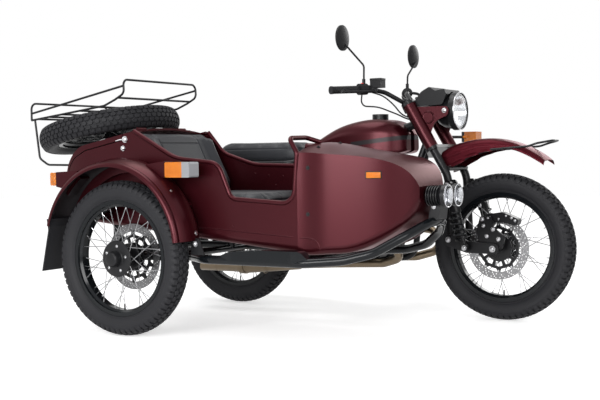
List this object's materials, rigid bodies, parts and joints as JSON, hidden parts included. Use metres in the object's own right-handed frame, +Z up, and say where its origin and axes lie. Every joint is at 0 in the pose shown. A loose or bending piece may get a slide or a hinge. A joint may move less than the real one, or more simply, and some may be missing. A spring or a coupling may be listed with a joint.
{
  "type": "motorcycle with sidecar",
  "caption": "Classic touring motorcycle with a leading-link fork and wire wheels, coupled to a boat-shaped passenger sidecar with a boot lid, luggage rack and spare wheel.",
  "frame": {"origin": "centre of the vehicle's footprint on the ground, below the middle of its bounding box", "axes": "+X forward, +Y to the motorcycle's left, +Z up; the sidecar is on the right, at -Y"},
  "size_m": [2.4205, 1.649, 1.3899],
  "materials": {
    "tyre": "matt",
    "black_paint": "satin",
    "body_paint": "satin metallic",
    "spoke_steel": "polished",
    "hub": "satin",
    "engine": "satin black with bare fin edges",
    "exhaust": "satin, bronze tinted",
    "vinyl": "matt grained",
    "red_lens": "moulded",
    "clear_lens": "clear",
    "black_plastic": "matt",
    "amber_lens": "moulded",
    "rubber": "matt"
  },
  "bodies": {
    "chassis": {"main_frame": "black_paint", "engine_case": "engine", "cylinders": "engine", "exhaust_system": "exhaust", "carburettors": "engine", "fuel_tank": "body_paint", "fuel_cap": "black_paint", "rider_seat": "vinyl", "side_covers": "body_paint", "rear_fender": "body_paint", "tail_lamp": "red_lens", "swingarm": "black_paint", "rear_shocks": "black_paint", "sidecar_body": "body_paint", "cockpit_rail": "body_paint", "sidecar_seat_back": "vinyl", "sidecar_seat_cushion": "vinyl", "sidecar_frame": "black_paint", "step_plate": "black_plastic", "driving_lamps": "black_paint", "driving_lamp_lenses": "clear_lens", "sidecar_fender": "body_paint", "mud_flap": "rubber", "sidecar_lamps": "amber_lens", "sidecar_swingarm": "black_paint"},
    "steering": {"fork": "black_paint", "leading_link": "black_paint", "front_shocks": "black_paint", "fork_ears": "body_paint", "headlamp": "black_paint", "headlamp_lens": "clear_lens", "instrument_cowl": "black_plastic", "handlebar": "black_paint", "hand_controls": "black_plastic", "control_cables": "black_plastic", "mirrors": "black_plastic", "front_fender": "body_paint", "fender_rail": "black_paint", "front_indicator": "amber_lens", "brake_caliper": "black_paint"},
    "boot_lid_group": {"boot_lid": "body_paint", "spare_tyre": "tyre", "spare_wheel": "black_paint", "luggage_rack": "black_paint"},
    "front_wheel": {"front_tyre": "tyre", "front_rim": "black_paint", "front_spokes": "spoke_steel", "front_hub": "hub"},
    "rear_wheel": {"rear_tyre": "tyre", "rear_rim": "black_paint", "rear_spokes": "spoke_steel", "rear_hub": "hub"},
    "sidecar_wheel": {"sidecar_tyre": "tyre", "sidecar_rim": "black_paint", "sidecar_spokes": "spoke_steel", "sidecar_hub": "hub"}
  },
  "joints": [
    {"name": "steering", "type": "hinge", "parent": "chassis", "child": "steering", "pos_m": [0.3973, 0.4125, 0.99], "axis": [-0.5, 0, 0.866], "range_deg": [-35, 35]},
    {"name": "front_wheel_spin", "type": "hinge", "parent": "steering", "child": "front_wheel", "pos_m": [0.8673, 0.4125, 0.343], "axis": [0, 1, 0], "continuous": true},
    {"name": "rear_wheel_spin", "type": "hinge", "parent": "chassis", "child": "rear_wheel", "pos_m": [-0.6327, 0.4125, 0.343], "axis": [0, 1, 0], "continuous": true},
    {"name": "sidecar_wheel_spin", "type": "hinge", "parent": "chassis", "child": "sidecar_wheel", "pos_m": [-0.4617, -0.7345, 0.343], "axis": [0, 1, 0], "continuous": true},
    {"name": "boot_lid_hinge", "type": "hinge", "parent": "chassis", "child": "boot_lid_group", "pos_m": [-0.5562, -0.3325, 0.918], "axis": [0, 1, 0], "range_deg": [0, 40]}
  ]
}
